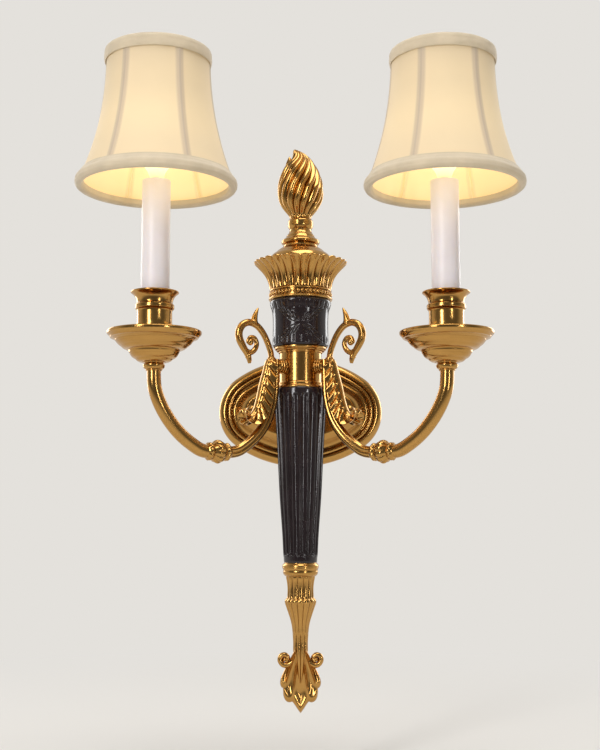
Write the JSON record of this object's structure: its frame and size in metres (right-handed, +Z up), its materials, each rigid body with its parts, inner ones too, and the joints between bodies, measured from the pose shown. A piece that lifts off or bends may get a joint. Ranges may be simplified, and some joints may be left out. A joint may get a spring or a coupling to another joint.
{
  "type": "double arm wall sconce",
  "caption": "Traditional wall sconce: fluted column on an oval wall plate, scrolled arms with drip pans and candle sleeves, and flared cloth shades that clip on the bulbs.",
  "frame": {"origin": "middle of the mounting crossbar's two slots, on the wall's surface", "axes": "+Z up, +Y into the wall, -Y towards the room, +X to the viewer's right"},
  "size_m": [0.4238, 0.2498, 0.6305],
  "materials": {
    "gilt_brass": "polished gilt brass with darker hollows",
    "black_lacquer": "gloss brown-black lacquer",
    "zinc_steel": "zinc plated",
    "white_sleeve": "smooth white candle sleeve",
    "black_phenolic": "moulded phenolic",
    "bulb_cap": "plain",
    "bulb_glass": "frosted, lit",
    "clip_wire": "brass plated wire",
    "shade_cloth": "cream cloth, stretched in six panels",
    "trim_cloth": "rolled cloth binding"
  },
  "bodies": {
    "fixture": {"mounting_crossbar": "zinc_steel", "crossbar_studs": "zinc_steel", "backplate": "gilt_brass", "ball_cap_nuts": "gilt_brass", "wall_neck": "gilt_brass", "neck_rosette": "gilt_brass", "neck_locknut": "zinc_steel", "tie_rod": "zinc_steel", "flame_finial": "gilt_brass", "finial_foot": "gilt_brass", "crown_dome": "gilt_brass", "crown": "gilt_brass", "beaded_band": "gilt_brass", "upper_drum": "black_lacquer", "arm_hub": "gilt_brass", "fluted_column": "black_lacquer", "lower_collar": "gilt_brass", "lower_baluster": "gilt_brass", "palmette_drop": "gilt_brass", "arm_boss_right": "gilt_brass", "scroll_handle_right": "gilt_brass", "acanthus_leaf_right": "gilt_brass", "inner_arm_right": "gilt_brass", "arm_knop_right": "gilt_brass", "arm_tube_right": "gilt_brass", "arm_collar_right": "gilt_brass", "drip_pan_right": "gilt_brass", "candle_cup_right": "gilt_brass", "cup_nipple_right": "zinc_steel", "candle_sleeve_right": "white_sleeve", "lampholder_right": "black_phenolic", "arm_boss_left": "gilt_brass", "scroll_handle_left": "gilt_brass", "acanthus_leaf_left": "gilt_brass", "inner_arm_left": "gilt_brass", "arm_knop_left": "gilt_brass", "arm_tube_left": "gilt_brass", "arm_collar_left": "gilt_brass", "drip_pan_left": "gilt_brass", "candle_cup_left": "gilt_brass", "cup_nipple_left": "zinc_steel", "candle_sleeve_left": "white_sleeve", "lampholder_left": "black_phenolic"},
    "bulb_right": {"bulb_cap_right": "bulb_cap", "bulb_glass_right": "bulb_glass"},
    "clip_right": {"shade_clip_right": "clip_wire"},
    "shade_right": {"shade_spider_right": "clip_wire", "shade_frame_right": "clip_wire", "shade_cover_right": "shade_cloth", "shade_bottom_trim_right": "trim_cloth", "shade_top_trim_right": "trim_cloth"},
    "bulb_left": {"bulb_cap_left": "bulb_cap", "bulb_glass_left": "bulb_glass"},
    "clip_left": {"shade_clip_left": "clip_wire"},
    "shade_left": {"shade_spider_left": "clip_wire", "shade_frame_left": "clip_wire", "shade_cover_left": "shade_cloth", "shade_bottom_trim_left": "trim_cloth", "shade_top_trim_left": "trim_cloth"}
  },
  "joints": [
    {"name": "bulb_turn_right", "type": "hinge", "parent": "fixture", "child": "bulb_right", "pos_m": [0.13567, -0.17357, 0.2], "axis": [0, 0, 1], "continuous": true},
    {"name": "shade_lift_right", "type": "slide", "parent": "bulb_right", "child": "clip_right", "axis": [0, 0, 1], "range_m": [0, 0.12]},
    {"name": "shade_turn_right", "type": "hinge", "parent": "clip_right", "child": "shade_right", "pos_m": [0.13567, -0.17357, 0.298], "axis": [0, 0, 1], "continuous": true},
    {"name": "bulb_turn_left", "type": "hinge", "parent": "fixture", "child": "bulb_left", "pos_m": [-0.13567, -0.17357, 0.2], "axis": [0, 0, 1], "continuous": true},
    {"name": "shade_lift_left", "type": "slide", "parent": "bulb_left", "child": "clip_left", "axis": [0, 0, 1], "range_m": [0, 0.12]},
    {"name": "shade_turn_left", "type": "hinge", "parent": "clip_left", "child": "shade_left", "pos_m": [-0.13567, -0.17357, 0.298], "axis": [0, 0, 1], "continuous": true}
  ]
}
